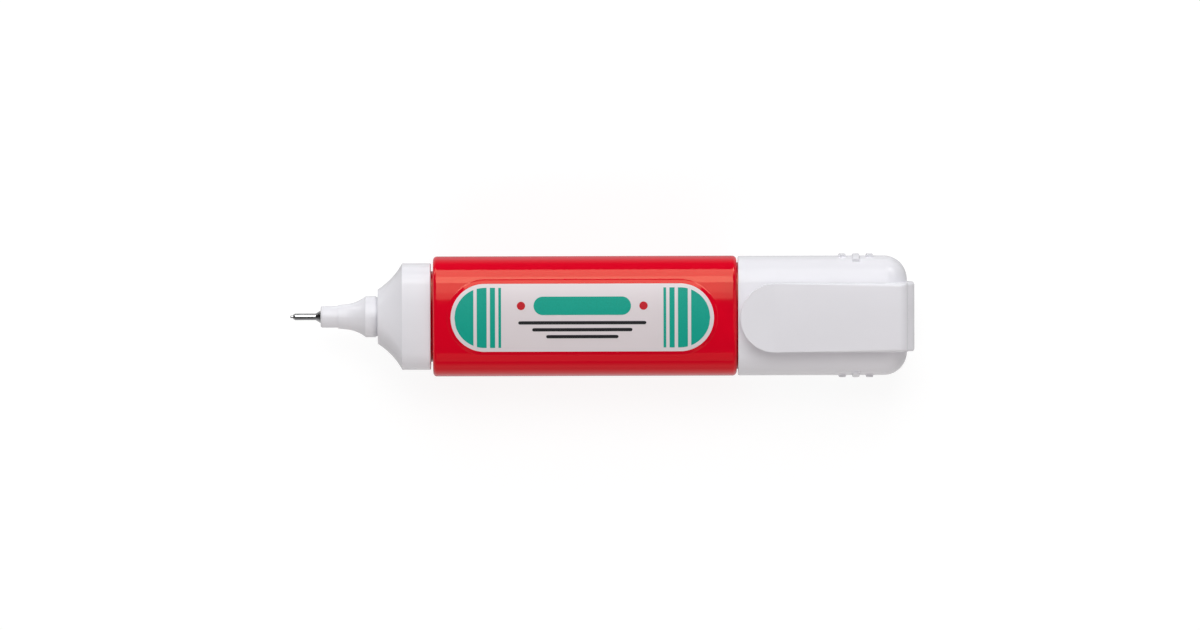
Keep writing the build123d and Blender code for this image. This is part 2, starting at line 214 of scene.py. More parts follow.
class PenClip(bpy.types.PropertyGroup):
    """Shape of the pocket clip, which is moulded in one piece with its root."""
    thickness: length("Thickness", "Thickness of the clip's plate", 1.6)
    edge_round: length("Edge round", "Round of the plate's upper edge", 0.7)
    lower_round: length("Lower round", "Round of the plate's lower edge", 0.2)
    end_bend: length("End bend", "Radius with which the plate bends over at its root end", 1.5)
    root_length: length("Root", "Length of the root under the plate", 3.4)
    root_depth: length("Root depth", "How far the root reaches below the plate", 1.05)
    root_inset: length("Root inset", "How far the root's sides lie inside the plate's", 0.02)
    root_fillet: length("Root fillet", "Hollow round where the root meets the plate", 0.8)
    bead_radius: length("Bead", "Radius of the bead under the free end", 0.6)
    bead_length: length("Bead length", "Length of the bead", 6.0)
    bead_setback: length("Bead place", "Distance of the bead from the free end", 3.0)
    bead_drop: length("Bead drop", "How far the bead's middle lies below the plate", 0.25)
    spring_start: length("Spring start", "Where the clip starts to give, from its root end", 4.2)
    spring_length: length("Spring length", "Length over which the clip gives", 6.0)


class PenSpring(bpy.types.PropertyGroup):
    """The hidden spring that keeps the valve shut."""
    wire: length("Wire", "Diameter of the spring's wire", 0.3)
    turns: count("Turns", "Turns of the spring", 8)
    turn_steps: count("Steps", "Straight steps in one turn", 24, 8)


class PenStage(bpy.types.PropertyGroup):
    """Floor, lamps and camera."""
    lens: share("Lens", "Focal length in millimetres", 500.0)
    distance: length("Distance", "From the camera to the pen", 3000.0)
    lean: angle("Lean", "How far the camera leans from straight above", 2.6)
    roll: angle("Roll", "Turn of the picture about the line of sight", 0.17)
    target: FloatVectorProperty(name="Target", description="Point in the middle of the picture",
                                default=(-0.343 * MM, 0.18 * MM, 8.15 * MM), size=3,
                                subtype="TRANSLATION")
    floor_radius: length("Floor", "Radius of the floor", 9000.0)
    floor_grey: share("Floor grey", "Share of the lamps' light that the floor throws back", 0.2)
    floor_lift: share("Floor lift", "Light added to the floor where the camera sees it", 0.86)
    floor_glow: share("Floor glow", "Light added to the floor where gloss mirrors it", 0.63)
    outer_glow: share("Outer glow", "What is left of it farther out, away from the softbox", 0.3)
    glow_shift: length("Glow place", "Where the floor's brightest line lies, from the pen's axis",
                       -10.0)
    glow_reach: length("Glow reach", "Distance from that line at which the light has faded", 60.0)
    far_bounce: share("Far bounce", "Light that the floor adds on the softbox's side", 0.4)
    near_bounce: share("Near bounce", "Light that the floor adds on the other side", 0.15)
    core_level: share("Core", "Radiance of the middle of the softbox beside the pen", 3.72)
    low_level: share("Low edge", "Radiance of the softbox's lower part", 2.38)
    high_level: share("High edge", "Radiance of the softbox's upper part", 1.8)
    rim_level: share("Rim", "Radiance of the softbox's uppermost rim", 1.12)
    fill_level: share("Fill", "Radiance of the weak panel opposite the softbox", 0.24)
    far_level: share("Far lamps", "Radiance of the low lamps on the softbox's side", 4.9)
    near_level: share("Near lamps", "Radiance of the lamps on the other side", 6.0)
    near_tone: colour("Near tone", "Warm colour of the near lamps", 1.0, 0.95, 0.925)
    room_level: share("Room", "Radiance of the room near the horizon, away from the softbox", 0.4)


GROUPS = {
    "pen_finishes": PenFinishes,
    "pen_label": PenLabel,
    "pen_clip": PenClip,
    "pen_spring": PenSpring,
    "pen_stage": PenStage,
}


# Nodes

def set_socket(tree, socket, value):
    """Links a socket to another, or sets it to a plain value."""
    if isinstance(value, bpy.types.NodeSocket):
        tree.links.new(value, socket)
    else:
        socket.default_value = value


def feed(tree, node, **values):
    """Sets or links a node's inputs, given by name with underscores for spaces."""
    for name, value in values.items():
        set_socket(tree, node.inputs[name.replace("_", " ")], value)


def add_node(tree, kind, **values):
    """New node with these inputs."""
    node = tree.nodes.new(kind)
    feed(tree, node, **values)
    return node


def calc(tree, operation, *values):
    """Math node on sockets or numbers."""
    node = tree.nodes.new("ShaderNodeMath")
    node.operation = operation
    for socket, value in zip(node.inputs, values):
        set_socket(tree, socket, value)
    return node.outputs[0]


def vector(tree, x=0.0, y=0.0, z=0.0):
    """Vector put together from sockets or numbers."""
    return add_node(tree, "ShaderNodeCombineXYZ", X=x, Y=y, Z=z).outputs[0]


def parts_of(tree, place):
    """The three parts of a vector."""
    return add_node(tree, "ShaderNodeSeparateXYZ", Vector=place).outputs


def fade(tree, value, start, end, first=1.0, last=0.0):
    """Share that goes softly from its first value at start to its last at end."""
    ramp = add_node(tree, "ShaderNodeMapRange", Value=value, From_Min=start, From_Max=end,
                    To_Min=first, To_Max=last)
    ramp.interpolation_type = "SMOOTHSTEP"
    return ramp.outputs["Result"]


# Materials

def new_material(name):
    """An empty node material, its tree and its shader."""
    material = bpy.data.materials.new(name)
    material.use_nodes = True
    tree = material.node_tree
    return material, tree, tree.nodes[SHADER]


def adjust(material, **values):
    """Sets inputs of a finished material's shader."""
    tree = material.node_tree
    feed(tree, tree.nodes[SHADER], **values)


def grain(tree, scale, detail=2.0, stretch=(1.0, 1.0, 1.0)):
    """Noise on the piece's own coordinates, with so many features to the metre."""
    place = add_node(tree, "ShaderNodeTexCoord").outputs["Object"]
    mapping = add_node(tree, "ShaderNodeMapping", Vector=place, Scale=stretch)
    noise = add_node(tree, "ShaderNodeTexNoise", Vector=mapping.outputs["Vector"], Scale=scale,
                     Detail=detail)
    return noise.outputs[0]


def spread(tree, factor, low, high):
    """Noise drawn out to the range from low to high."""
    return add_node(tree, "ShaderNodeMapRange", Value=factor, From_Min=NOISE_LOW,
                    From_Max=NOISE_HIGH, To_Min=low, To_Max=high).outputs["Result"]


def tint(tree, factor, tone, depth):
    """Colour that varies with noise by that share on either side of a tone."""
    ramp = add_node(tree, "ShaderNodeValToRGB", Fac=factor)
    levels = ((NOISE_LOW, 1.0 - depth), (NOISE_HIGH, 1.0 + depth))
    for element, (place, level) in zip(ramp.color_ramp.elements, levels):
        element.position = place
        element.color = [min(channel * level, 1.0) for channel in tone] + [1.0]
    return ramp.outputs["Color"]


def relief(tree, factor, depth, strength=0.5):
    """Bump of that depth in metres."""
    return add_node(tree, "ShaderNodeBump", Height=factor, Distance=depth,
                    Strength=strength).outputs["Normal"]


def plastic(name, tone, roughness, peel):
    """Moulded plastic with a faint flow of colour, an uneven skin and fine handling scuffs."""
    material, tree, shader = new_material(name)
    flow = grain(tree, scale=90.0, detail=3.0, stretch=(0.4, 1.0, 1.0))
    scuffs = grain(tree, scale=1800.0, detail=5.0, stretch=(0.15, 1.0, 1.0))
    feed(tree, shader,
         Base_Color=tint(tree, flow, tone, depth=0.02),
         Normal=relief(tree, grain(tree, scale=peel), depth=SKIN_DEPTH),
         Roughness=spread(tree, scuffs, roughness - SCUFF, roughness + SCUFF))
    return material


def add_haze(material, weight, tone):
    """Soft light that dyed plastic scatters back where its skin turns away."""
    adjust(material, Sheen_Weight=weight, Sheen_Roughness=0.5, Sheen_Tint=(*tone, 1.0))


def turned_steel(name, tone):
    """Bright steel with the fine rings that turning leaves round the pen's axis."""
    material, tree, shader = new_material(name)
    rings = grain(tree, scale=1.0, detail=3.0, stretch=(9000.0, 160.0, 160.0))
    feed(tree, shader, Metallic=1.0,
         Base_Color=tint(tree, grain(tree, scale=900.0), tone, depth=0.05),
         Roughness=spread(tree, rings, low=0.14, high=0.26),
         Normal=relief(tree, rings, depth=SKIN_DEPTH))
    return material


def milky_plastic(name, tone):
    """Undyed plastic that lets a little light in."""
    material, tree, shader = new_material(name)
    feed(tree, shader, Subsurface_Weight=0.3, Subsurface_Scale=0.6 * MM,
         Base_Color=tint(tree, grain(tree, scale=300.0, detail=3.0), tone, depth=0.03),
         Roughness=spread(tree, grain(tree, scale=2400.0), low=0.36, high=0.5))
    return material


def black_rubber(name):
    """Matt rubber with a dusty grain."""
    material, tree, shader = new_material(name)
    dust = grain(tree, scale=1800.0, detail=4.0)
    feed(tree, shader,
         Base_Color=tint(tree, dust, (0.02, 0.02, 0.021), depth=0.3),
         Roughness=spread(tree, grain(tree, scale=2600.0), low=0.7, high=0.85),
         Normal=relief(tree, grain(tree, scale=5000.0), depth=0.01 * MM, strength=0.6))
    return material


def label_film(name, tone):
    """Satin film with a smooth, slightly uneven face."""
    material, tree, shader = new_material(name)
    feed(tree, shader, Specular_IOR_Level=0.7,
         Base_Color=tint(tree, grain(tree, scale=140.0), tone, depth=0.006),
         Roughness=spread(tree, grain(tree, scale=300.0, detail=1.0), low=0.25, high=0.27))
    return material


def printed_ink(name, tone):
    """Ink on the film, a little uneven in cover and gloss."""
    material, tree, shader = new_material(name)
    feed(tree, shader, Specular_IOR_Level=0.3,
         Base_Color=tint(tree, grain(tree, scale=5200.0, detail=3.0), tone, depth=0.07),
         Roughness=spread(tree, grain(tree, scale=1500.0, detail=3.0), low=0.5, high=0.62))
    return material


def dress(material, *nodes):
    """Gives CAD nodes a finish."""
    for node in nodes:
        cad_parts[node].material_slots[0].material = material


# Meshes

def add_object(name, data):
    """New object in the scene."""
    thing = bpy.data.objects.new(name, data)
    bpy.context.scene.collection.objects.link(thing)
    return thing


def place_mesh(name, mesh, body, material=None):
    """A finished piece with its material, which moves with a body when one is given."""
    piece = add_object(name, mesh)
    if material:
        mesh.materials.append(material)
    if body:
        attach(piece, body)
    return piece


def mesh_from(shape, name, sharp=SHARP):
    """Mesh made from a bmesh, smooth but for its sharp edges."""
    for face in shape.faces:
        face.smooth = True
    limit = math.radians(sharp)
    for edge in shape.edges:
        edge.smooth = len(edge.link_faces) == 2 and edge.calc_face_angle() < limit
    mesh = bpy.data.meshes.new(name)
    shape.to_mesh(mesh)
    shape.free()
    return mesh


def add_walls(shape, first, second):
    """Faces between two rings of points that run the same way."""
    for index in range(len(first)):
        before = index - 1
        shape.faces.new((first[before], first[index], second[index], second[before]))


def add_stack(shape, *rings):
    """Closed solid through anticlockwise plan outlines, each at its height, from the lowest."""
    loops = [[shape.verts.new((x, y, level)) for x, y in outline] for outline, level in rings]
    shape.faces.new(reversed(loops[0]))
    shape.faces.new(loops[-1])
    for below, above in zip(loops, loops[1:]):
        add_walls(shape, below, above)


def add_prism(shape, outline, low, high):
    """Closed upright prism on a plan outline."""
    add_stack(shape, (outline, low), (outline, high))


def rounded_bar(centre, size, radius, steps):
    """Outline of a bar with rounded corners, anticlockwise."""
    outline = []
    reach = (size[0] / 2 - radius, size[1] / 2 - radius)
    for quarter, (side, end) in enumerate(((1, 1), (-1, 1), (-1, -1), (1, -1))):
        for step in range(steps + 1):
            turn = (quarter + step / steps) * math.pi / 2
            outline.append((centre[0] + side * reach[0] + radius * math.cos(turn),
                            centre[1] + end * reach[1] + radius * math.sin(turn)))
    return outline


def cut(shape, place, normal):
    """Cuts the faces of a shape along a plane and keeps both sides."""
    everything = shape.verts[:] + shape.edges[:] + shape.faces[:]
    bmesh.ops.bisect_plane(shape, geom=everything, plane_co=place, plane_no=normal)


# Geometry trees

def new_tree(name, inputs):
    """Geometry tree with named inputs, the sockets of those inputs, and its output node."""
    tree = bpy.data.node_groups.new(name, "GeometryNodeTree")
    for socket, kind in inputs:
        tree.interface.new_socket(socket, in_out="INPUT", socket_type="NodeSocket" + kind)
    tree.interface.new_socket("Geometry", in_out="OUTPUT", socket_type="NodeSocketGeometry")
    return tree, tree.nodes.new("NodeGroupInput").outputs, tree.nodes.new("NodeGroupOutput")


def position_of(tree):
    """The three parts of a point's place."""
    return parts_of(tree, add_node(tree, "GeometryNodeInputPosition").outputs[0])


def join(tree, *nodes):
    """The first outputs of several nodes as one geometry."""
    joined = tree.nodes.new("GeometryNodeJoinGeometry")
    for node in nodes:
        tree.links.new(node.outputs[0], joined.inputs[0])
    return joined.outputs[0]


def end_tree(tree, result, last, material):
    """Ends a tree with the last node's geometry made real and given its material."""
    real = add_node(tree, "GeometryNodeRealizeInstances", Geometry=last.outputs[0])
    finished = add_node(tree, "GeometryNodeSetMaterial", Geometry=real.outputs[0],
                        Material=material)
    tree.links.new(finished.outputs[0], result.inputs[0])


def grown_mesh(context, name, tree, values, base=None):
    """Plain mesh that a tree makes with these values for its named inputs."""
    source = add_object(name, base or bpy.data.meshes.new(name))
    modifier = source.modifiers.new(name, "NODES")
    modifier.node_group = tree
    for item in tree.interface.items_tree:
        if item.in_out == "INPUT" and item.name in values:
            modifier[item.identifier] = values[item.name]
    context.view_layer.update()
    grown = source.evaluated_get(context.evaluated_depsgraph_get())
    mesh = bpy.data.meshes.new_from_object(grown)
    bpy.data.objects.remove(source)
    return mesh


def face_wrap_tree():
    """Lays a flat shape, drawn about the label's middle, over the barrel's round face."""
    tree, inputs, result = new_tree("wrap over the face", (
        ("Geometry", "Geometry"), ("Face Radius", "Float"), ("Place", "Vector"),
        ("Material", "Material")))
    radius = inputs["Face Radius"]
    across = position_of(tree)["Y"]
    square = calc(tree, "SUBTRACT", calc(tree, "MULTIPLY", radius, radius),
                  calc(tree, "MULTIPLY", across, across))
    drop = calc(tree, "SUBTRACT", calc(tree, "SQRT", square), radius)
    bent = add_node(tree, "GeometryNodeSetPosition", Geometry=inputs["Geometry"],
                    Offset=vector(tree, z=drop))
    placed = add_node(tree, "GeometryNodeTransform", Geometry=bent.outputs[0],
                      Translation=inputs["Place"])
    end_tree(tree, result, placed, inputs["Material"])
    return tree


def label_band_tree(wrap):
    """Bands that narrow towards the middle of the label and follow its round ends."""
    tree, inputs, result = new_tree("label bands", (
        ("Bands", "Int"), ("First Width", "Float"), ("Ratio", "Float"), ("Gap", "Float"),
        ("Reach", "Float"), ("End Radius", "Float"), ("Ink", "Float"), ("Face Radius", "Float"),
        ("Place", "Vector"), ("Material", "Material")))
    index = tree.nodes.new("GeometryNodeInputIndex").outputs[0]
    # Each band's width, and its middle from those of the bands outside it
    shrink = calc(tree, "POWER", inputs["Ratio"], index)
    width = calc(tree, "MULTIPLY", inputs["First Width"], shrink)
    series = calc(tree, "DIVIDE", calc(tree, "SUBTRACT", 1.0, shrink),
                  calc(tree, "SUBTRACT", 1.0, inputs["Ratio"]))
    start = calc(tree, "MULTIPLY_ADD", inputs["First Width"], series,
                 calc(tree, "MULTIPLY", inputs["Gap"], index))
    middle = calc(tree, "SUBTRACT", calc(tree, "MULTIPLY_ADD", width, 0.5, start), inputs["Reach"])
    row = add_node(tree, "GeometryNodeMeshLine", Count=inputs["Bands"])
    spaced = add_node(tree, "GeometryNodeSetPosition", Geometry=row.outputs[0],
                      Position=vector(tree, middle))
    # A strip one wide, which reaches one to either side and is drawn to the label's width below
    strip = add_node(tree, "GeometryNodeMeshGrid", Size_X=1.0, Size_Y=2.0,
                     Vertices_X=BAND_POINTS[0], Vertices_Y=BAND_POINTS[1])
    strips = add_node(tree, "GeometryNodeInstanceOnPoints", Points=spaced.outputs[0],
                      Instance=strip.outputs[0], Scale=vector(tree, width, 1.0, 1.0))
    flat = add_node(tree, "GeometryNodeRealizeInstances", Geometry=strips.outputs[0])
    # Half of the label's width there, which falls off round its end
    spot = position_of(tree)
    radius = inputs["End Radius"]
    centre = calc(tree, "SUBTRACT", radius, inputs["Reach"])
    past = calc(tree, "MINIMUM", calc(tree, "SUBTRACT", spot["X"], centre), 0.0)
    square = calc(tree, "SUBTRACT", calc(tree, "MULTIPLY", radius, radius),
                  calc(tree, "MULTIPLY", past, past))
    half = calc(tree, "SQRT", calc(tree, "MAXIMUM", square, 0.0))
    fitted = add_node(tree, "GeometryNodeSetPosition", Geometry=flat.outputs[0],
                      Position=vector(tree, spot["X"], calc(tree, "MULTIPLY", spot["Y"], half)))
    raised = add_node(tree, "GeometryNodeExtrudeMesh", Mesh=fitted.outputs[0],
                      Offset_Scale=inputs["Ink"], Individual=False)
    under = add_node(tree, "GeometryNodeFlipFaces", Mesh=fitted.outputs[0])
    welded = add_node(tree, "GeometryNodeMergeByDistance", Geometry=join(tree, raised, under),
                      Distance=NEAR)
    turned = add_node(tree, "GeometryNodeTransform", Geometry=welded.outputs[0],
                      Rotation=(0.0, 0.0, math.pi))
    laid = tree.nodes.new("GeometryNodeGroup")
    laid.node_tree = wrap
    feed(tree, laid, Geometry=join(tree, welded, turned), Face_Radius=inputs["Face Radius"],
         Place=inputs["Place"], Material=inputs["Material"])
    tree.links.new(laid.outputs[0], result.inputs[0])
    return tree


def spring_tree():
    """Wire wound along the pen's axis, from its front end."""
    tree, inputs, result = new_tree("needle spring", (
        ("Turns", "Float"), ("Steps", "Int"), ("Coil Radius", "Float"), ("Wire", "Float"),
        ("Rise", "Float"), ("Place", "Vector"), ("Material", "Material")))
    coil = add_node(tree, "GeometryNodeCurveSpiral", Resolution=inputs["Steps"],
                    Rotations=inputs["Turns"], Start_Radius=inputs["Coil Radius"],
                    End_Radius=inputs["Coil Radius"], Height=inputs["Rise"])
    section = add_node(tree, "GeometryNodeCurvePrimitiveCircle", Resolution=WIRE_SIDES,
                       Radius=calc(tree, "MULTIPLY", inputs["Wire"], 0.5))
    wound = add_node(tree, "GeometryNodeCurveToMesh", Curve=coil.outputs[0],
                     Profile_Curve=section.outputs[0], Fill_Caps=True)
    laid = add_node(tree, "GeometryNodeTransform", Geometry=wound.outputs[0],
                    Translation=inputs["Place"], Rotation=AXIS_TURN)
    end_tree(tree, result, laid, inputs["Material"])
    return tree


# Label

def label_span(art):
    """Middle and size of the label's film."""
    low = LABEL_LOW + Vector((0.0, art.film_trim, 0.0))
    return (LABEL_HIGH + low) / 2, LABEL_HIGH - low


def label_place(art, rise):
    """Point that far above the middle of the barrel's face under the label."""
    middle = label_span(art)[0]
    return (middle.x, middle.y, LABEL_HIGH.z - art.film + rise)


def label_outline(art, grow):
    """The label's outline about its middle, with round ends, grown all round."""
    size = label_span(art)[1]
    return rounded_bar((0.0, 0.0), (size.x + 2 * grow, size.y + 2 * grow), size.y / 2 + grow,
                       LABEL_STEPS)


def lay_on_face(context, name, shape, rise, material, sharp=SHARP):
    """Bends a flat shape, drawn about the label's middle, over the barrel's face at that height."""
    art = context.scene.pen_label
    for step in range(-FACE_SLICES, FACE_SLICES + 1):
        level = step / FACE_SLICES * (LABEL_HIGH.y - LABEL_LOW.y) * SLICE_REACH
        cut(shape, (0.0, level, 0.0), (0.0, 1.0, 0.0))
    values = {"Face Radius": art.face_radius, "Place": label_place(art, rise), "Material": material}
    mesh = grown_mesh(context, name, face_wrap_tree(), values, mesh_from(shape, name, sharp))
    return place_mesh(name, mesh, "pen")


def print_on_label(context, name, outlines, ink):
    """Prints flat outlines, drawn about the label's middle, on the film."""
    art = context.scene.pen_label
    shape = bmesh.new()
    for outline in outlines:
        add_prism(shape, outline, 0.0, art.ink)
    lay_on_face(context, name, shape, art.pad_height + art.film, ink)


# Clip

def clip_mesh(clip):
    """Plate that bends over into its root on the cap, with a bead under its free end."""
    shape = bmesh.new()
    add_clip_plate(shape, clip)
    add_clip_root(shape, clip)
    add_clip_bead(shape, clip)
    bmesh.ops.recalc_face_normals(shape, faces=shape.faces[:])
    return mesh_from(shape, "pocket_clip", CLIP_SHARP)


def add_clip_plate(shape, clip):
    """Plate with a round free end and soft edges, which thins out in a bend at its root end."""
    half = (CLIP_HIGH.y - CLIP_LOW.y) / 2
    free, rear = CLIP_LOW.x, CLIP_HIGH.x
    top, under = CLIP_HIGH.z, CLIP_HIGH.z - clip.thickness
    outline = [(rear, -half), (rear, half)]
    for step in range(CLIP_END_STEPS + 1):
        turn = math.pi / 2 + math.pi * step / CLIP_END_STEPS
        outline.append((free + half + half * math.cos(turn), half * math.sin(turn)))
    add_prism(shape, outline, under, top)
    rounds = ((top, clip.edge_round, CLIP_UPPER_STEPS), (under, clip.lower_round, CLIP_LOWER_STEPS))
    for level, size, steps in rounds:
        # The edges at that level, but for the one across the root end
        rim = [edge for edge in shape.edges
               if all(abs(vert.co.z - level) < NEAR for vert in edge.verts)
               and min(vert.co.x for vert in edge.verts) < rear - NEAR]
        bmesh.ops.bevel(shape, geom=rim, offset=size, segments=steps, profile=0.5, affect="EDGES")
    bend_x = rear - clip.end_bend
    cuts = [free + (bend_x - free) * step / CLIP_PLATE_STEPS
            for step in range(1, CLIP_PLATE_STEPS + 1)]
    cuts += [bend_x + clip.end_bend * math.sin(step * math.pi / (2 * CLIP_BEND_STEPS))
             for step in range(1, CLIP_BEND_STEPS)]
    for x in cuts:
        cut(shape, (x, 0.0, 0.0), (1.0, 0.0, 0.0))
    for vert in shape.verts:
        past = min(max(vert.co.x - bend_x, 0.0), clip.end_bend)
        drop = clip.end_bend - math.sqrt(clip.end_bend ** 2 - past ** 2)
        vert.co.z -= drop * (vert.co.z - under) / clip.thickness


def add_clip_root(shape, clip):
    """Block under the plate's root end, with a hollow round up to it and its foot in the cap."""
    half = (CLIP_HIGH.y - CLIP_LOW.y) / 2 - clip.root_inset
    rear, under = CLIP_HIGH.x, CLIP_HIGH.z - clip.thickness
    front, foot = rear - clip.root_length, under - clip.root_depth
    sunk = under + clip.lower_round
    profile = [(rear, foot), (rear, under), (rear - clip.end_bend, sunk),
               (front - clip.root_fillet, sunk)]
    for step in range(CLIP_FILLET_STEPS + 1):
        turn = math.pi / 2 * (1 - step / CLIP_FILLET_STEPS)
        profile.append((front + clip.root_fillet * (math.cos(turn) - 1),
                        under + clip.root_fillet * (math.sin(turn) - 1)))
    profile.append((front, foot))
    sides = [[shape.verts.new((x, y, z)) for x, z in profile] for y in (-half, half)]
    shape.faces.new(sides[0])
    shape.faces.new(reversed(sides[1]))
    add_walls(shape, *sides)


def add_clip_bead(shape, clip):
    """Round bead across the plate's underside, which grips what the clip holds."""
    place = Vector((CLIP_LOW.x + clip.bead_setback, 0.0,
                    CLIP_HIGH.z - clip.thickness - clip.bead_drop))
    bead = bmesh.ops.create_uvsphere(shape, u_segments=24, v_segments=13, radius=clip.bead_radius,
                                     matrix=Matrix.Rotation(math.pi / 2, 4, "X"))
    reach = clip.bead_length / 2 - clip.bead_radius
    for vert in bead["verts"]:
        vert.co += place + Vector((0.0, math.copysign(reach, vert.co.y), 0.0))


# Stage

def add_floor(stage):
    """Large pale floor that takes the pen's shadow and looks white to the camera."""
    shape = bmesh.new()
    bmesh.ops.create_circle(shape, cap_ends=True, segments=96, radius=stage.floor_radius)
    mesh = mesh_from(shape, "floor")
    mesh.materials.append(floor_material(stage))
    add_object("floor", mesh)


def floor_material(stage):
    """Pale ground that adds light of its own to what the camera, gloss and other surfaces see."""
    material, tree, shader = new_material("pale floor")
    path = tree.nodes.new("ShaderNodeLightPath").outputs
    seen = calc(tree, "MAXIMUM", path["Is Camera Ray"], path["Is Transmission Ray"])
    gloss = path["Is Glossy Ray"]
    across = parts_of(tree, tree.nodes.new("ShaderNodeTexCoord").outputs["Object"])["Y"]
    away, toward = stage.glow_shift - stage.glow_reach, stage.glow_shift + stage.glow_reach
    glow = calc(tree, "MULTIPLY",
                fade(tree, across, away, stage.glow_shift, stage.outer_glow, stage.floor_glow),
                fade(tree, across, stage.glow_shift, toward))
    bounce = fade(tree, across, -BOUNCE_SHIFT, BOUNCE_SHIFT, stage.near_bounce, stage.far_bounce)
    thrown = calc(tree, "MULTIPLY_ADD", path["Is Diffuse Ray"], bounce,
                  calc(tree, "MULTIPLY", gloss, glow))
    grey = calc(tree, "MULTIPLY", calc(tree, "SUBTRACT", 1.0, gloss), stage.floor_grey)
    feed(tree, shader, Roughness=0.9, Specular_IOR_Level=0.0, Base_Color=grey,
         Emission_Color=(*WHITE, 1.0),
         Emission_Strength=calc(tree, "MULTIPLY_ADD", seen, stage.floor_lift, thrown))
    return material


def lamp_place(bearing, lean, reach):
    """Place seen from the pen at a bearing from +X and a lean from straight up, in degrees."""
    turn, tilt = math.radians(bearing), math.radians(lean)
    level = math.sin(tilt)
    return Vector((level * math.cos(turn), level * math.sin(turn), math.cos(tilt))) * reach


def add_lamp(name, place, size, level, tone=WHITE, mirrored=True):
    """Area lamp of that radiance, aimed at the pen and hidden from the camera.

    One that isn't mirrored is hidden from gloss too.
    """
    light = bpy.data.lights.new(name, "AREA")
    light.shape = "RECTANGLE"
    light.size, light.size_y = size
    light.energy = level * math.pi * size[0] * size[1]
    light.color = tone
    lamp = add_object(name, light)
    lamp.location = place
    lamp.rotation_euler = (-Vector(place)).to_track_quat("-Z", "Y").to_euler()
    lamp.visible_camera = False
    lamp.visible_glossy = mirrored


def add_lamps(stage):
    """A large softbox on the pen's upper side, a weak fill, and lamps off the four corners."""
    between = (stage.core_level + stage.high_level) / 2
    # Name, the leans that the panel fills, radiance
    panels = (
        ("softbox_low_edge", 45.0, 76.0, stage.low_level),
        ("softbox_core", 26.0, 45.0, stage.core_level),
        ("softbox_blend", 20.0, 26.0, between),
        ("softbox_high_edge", 14.0, 20.0, stage.high_level),
        ("softbox_rim", 9.6, 14.0, stage.rim_level),
        ("fill_panel", -60.0, -24.0, stage.fill_level),
    )
    for name, first, last, level in panels:
        depth = 2 * SOFTBOX_REACH * math.tan(math.radians(last - first) / 2)
        place = lamp_place(90.0, (first + last) / 2, SOFTBOX_REACH)
        add_lamp(name, place, (SOFTBOX_LENGTH, depth), level)
    # Side, bearing of the lamp at the cap's end, lean, height, radiance, colour, seen in gloss
    lamps = (
        ("far", 55.0, 82.0, 0.16, stage.far_level, WHITE, True),
        ("near", -50.0, 60.0, 0.2, stage.near_level, stage.near_tone, False),
    )
    for name, bearing, lean, height, level, tone, mirrored in lamps:
        for end, turn in (("cap", bearing), ("tip", 180.0 - bearing)):
            place = lamp_place(turn, lean, LAMP_REACH)
            add_lamp(f"{name}_{end}_lamp", place, (LAMP_LENGTH, height), level, tone, mirrored)


def add_room(scene, stage):
    """Dark room, brighter near the horizon away from the softbox, and white to the camera."""
    world = bpy.data.worlds.new("room")
    world.use_nodes = True
    tree = world.node_tree
    way = parts_of(tree, tree.nodes.new("ShaderNodeTexCoord").outputs["Generated"])
    glow = calc(tree, "MULTIPLY", fade(tree, way["Z"], start=0.0, end=0.5),
                fade(tree, way["Y"], start=-0.1, end=0.4))
    seen = tree.nodes.new("ShaderNodeLightPath").outputs["Is Camera Ray"]
    level = calc(tree, "MAXIMUM", calc(tree, "MULTIPLY", glow, stage.room_level), seen)
    feed(tree, tree.nodes["Background"], Color=(*WHITE, 1.0), Strength=level)
    scene.world = world


def add_camera(scene, stage):
    """Long lens nearly straight above the pen."""
    lens = bpy.data.cameras.new("camera")
    lens.sensor_width = 36.0
    lens.lens = stage.lens
    lens.clip_end = 50.0
    back = Vector((0.0, math.sin(stage.lean), math.cos(stage.lean)))
    across = Vector((1.0, 0.0, 0.0))
    upward = back.cross(across)
    right = across * math.cos(stage.roll) - upward * math.sin(stage.roll)
    top = across * math.sin(stage.roll) + upward * math.cos(stage.roll)
    camera = add_object("camera", lens)
    camera.location = Vector(stage.target) + back * stage.distance
    camera.rotation_euler = Matrix((right, top, back)).transposed().to_euler()
    scene.camera = camera


# Operators

class PEN_OT_finishes(bpy.types.Operator):
    """Give the moulded, turned and hidden parts their materials"""
    bl_idname = "pen.finishes"
    bl_label = "Finishes"

    def execute(self, context):
        look = context.scene.pen_finishes
        red = plastic(RED_PLASTIC, look.barrel_red, look.barrel_gloss, peel=1400.0)
        white = plastic(WHITE_PLASTIC, look.moulded_white, look.moulded_roughness, peel=3600.0)
        adjust(red, Specular_IOR_Level=look.barrel_shine, Specular_Tint=(*look.barrel_glint, 1.0))
        add_haze(red, look.barrel_haze, look.barrel_haze_tone)
        add_haze(white, look.moulded_haze, WHITE)
        dress(red, "barrel")
        dress(white, "front_collar", "nozzle", "cap_shell")
        dress(turned_steel(TURNED_STEEL, look.steel_grey),
              "metal_tip", "valve_needle", "needle_spring", "mixing_ball")
        dress(milky_plastic("undyed plastic", look.milky), "spring_seat", "inner_cap")
        dress(black_rubber("black seal rubber"), "neck_seal")
        dress(label_film(LABEL_FILM, look.film_white), "front_label")
        return {"FINISHED"}


